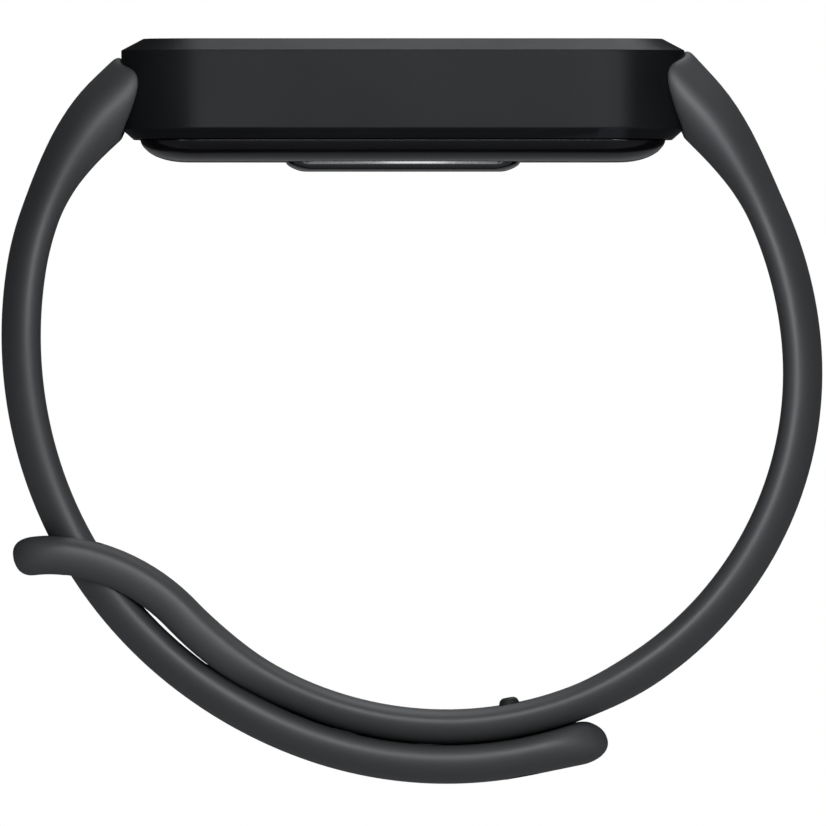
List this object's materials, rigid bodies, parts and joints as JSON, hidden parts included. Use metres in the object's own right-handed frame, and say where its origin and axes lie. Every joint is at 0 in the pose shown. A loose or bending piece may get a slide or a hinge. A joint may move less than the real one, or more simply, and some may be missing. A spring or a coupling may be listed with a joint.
{
  "type": "fitness tracker band",
  "caption": "Slim rectangular fitness tracker on a two-piece soft strap that closes with a loop and a stud, with its inner parts.",
  "frame": {"origin": "centre of the wrist opening: under the middle of the case, halfway between the sensor window and the inner face of the strap", "axes": "+X along the length of the case, towards the strap with the holes; +Y along the wrist; +Z out of the screen"},
  "size_m": [0.0617, 0.0254, 0.056],
  "materials": {
    "glass_black": "black printed cover glass, polished",
    "adhesive_black": "black foam tape",
    "touch_film": "clear film over a dark panel",
    "panel_glass": "dark display glass",
    "backlight_white": "white diffuser",
    "flex_copper": "amber polyimide flex with copper traces",
    "connector_black": "moulded connector",
    "case_charcoal": "fine satin charcoal housing with a lighter bevel",
    "frame_grey": "moulded grey plastic",
    "board_green": "green solder mask",
    "shield_steel": "stamped tin-plated steel",
    "chip_black": "black moulded chip package",
    "screw_steel": "steel",
    "pouch_silver": "aluminium laminate pouch",
    "motor_brass": "brass plate",
    "tungsten": "dense grey weight",
    "cover_black": "semi-gloss black rear cover",
    "seal_rubber": "black silicone",
    "window_black": "polished black sensor window",
    "led_lens": "green lamp under clear resin",
    "contact_gold": "gold-plated contact",
    "magnet_nickel": "nickel-plated magnet",
    "plug_black": "hard black nylon",
    "stud_black": "black anodised stud",
    "strap_charcoal": "matte charcoal TPU strap"
  },
  "bodies": {
    "case": {"cover_glass": "glass_black", "glass_adhesive": "adhesive_black", "touch_panel": "touch_film", "display_panel": "panel_glass", "display_backlight": "backlight_white", "display_flex": "flex_copper", "display_connector": "connector_black", "case_frame": "case_charcoal", "inner_frame": "frame_grey", "main_board": "board_green", "processor_shield": "shield_steel", "bluetooth_chip": "chip_black", "memory_chip": "chip_black", "motion_sensor": "chip_black", "battery_connector": "connector_black", "board_screws": "screw_steel", "battery": "pouch_silver", "battery_protection_board": "board_green", "battery_lead": "flex_copper", "battery_adhesive": "adhesive_black", "motor_can": "shield_steel", "motor_base": "motor_brass", "motor_shaft": "screw_steel", "antenna_strip": "flex_copper", "rear_cover": "cover_black", "rear_gasket": "seal_rubber", "sensor_window": "window_black", "sensor_board": "board_green", "sensor_leds": "led_lens", "photodiodes": "chip_black", "light_barrier": "seal_rubber", "sensor_flex": "flex_copper", "charging_contacts": "contact_gold", "charging_magnets": "magnet_nickel"},
    "left_strap": {"left_strap": "strap_charcoal", "left_connector": "plug_black"},
    "clasp_end": {"clasp_end": "strap_charcoal", "clasp_stud": "stud_black"},
    "right_strap": {"right_strap": "strap_charcoal", "right_connector": "plug_black"},
    "motor_rotor": {"motor_weight": "tungsten"}
  },
  "joints": [
    {"name": "left_strap_release", "type": "slide", "parent": "case", "child": "left_strap", "axis": [0, 0, -1], "range_m": [0, 0.008]},
    {"name": "right_strap_release", "type": "slide", "parent": "case", "child": "right_strap", "axis": [0, 0, -1], "range_m": [0, 0.008]},
    {"name": "clasp_peel", "type": "hinge", "parent": "left_strap", "child": "clasp_end", "pos_m": [-0.0046, 0, -0.02333], "axis": [0, 1, 0], "range_deg": [0, 60], "stiffness_Nm_per_rad": 0.004},
    {"name": "motor_spin", "type": "hinge", "parent": "case", "child": "motor_rotor", "pos_m": [0.012, 0.0052, 0.0236], "axis": [0, 0, 1], "continuous": true}
  ],
  "couplings": [
    {"joint": "right_strap_release", "follows": "left_strap_release", "ratio": 1}
  ]
}
